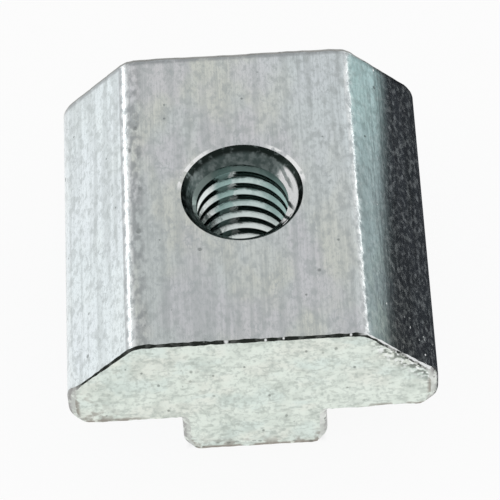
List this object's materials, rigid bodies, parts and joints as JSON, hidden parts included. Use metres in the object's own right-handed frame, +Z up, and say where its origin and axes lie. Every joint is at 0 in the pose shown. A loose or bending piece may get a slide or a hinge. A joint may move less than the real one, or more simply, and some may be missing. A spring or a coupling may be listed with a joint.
{
  "type": "t slot nut",
  "caption": "T-shaped steel nut for a rail slot: a wide chamfered base, square shoulders and a narrow tongue, with a countersunk threaded hole through the middle.",
  "frame": {"origin": "on the threaded hole's axis, in the tongue's flat face that the nut stands on", "axes": "+Y along the bar that the nut is cut from, +X across it, +Z up along the hole from the tongue to the base"},
  "size_m": [0.0198, 0.02, 0.0096],
  "materials": {
    "zinc_plated_steel": "bright zinc plate on cold drawn steel, satin along the bar, matte on the cut ends"
  },
  "bodies": {
    "root": {"t_slot_nut": "zinc_plated_steel"}
  },
  "joints": []
}
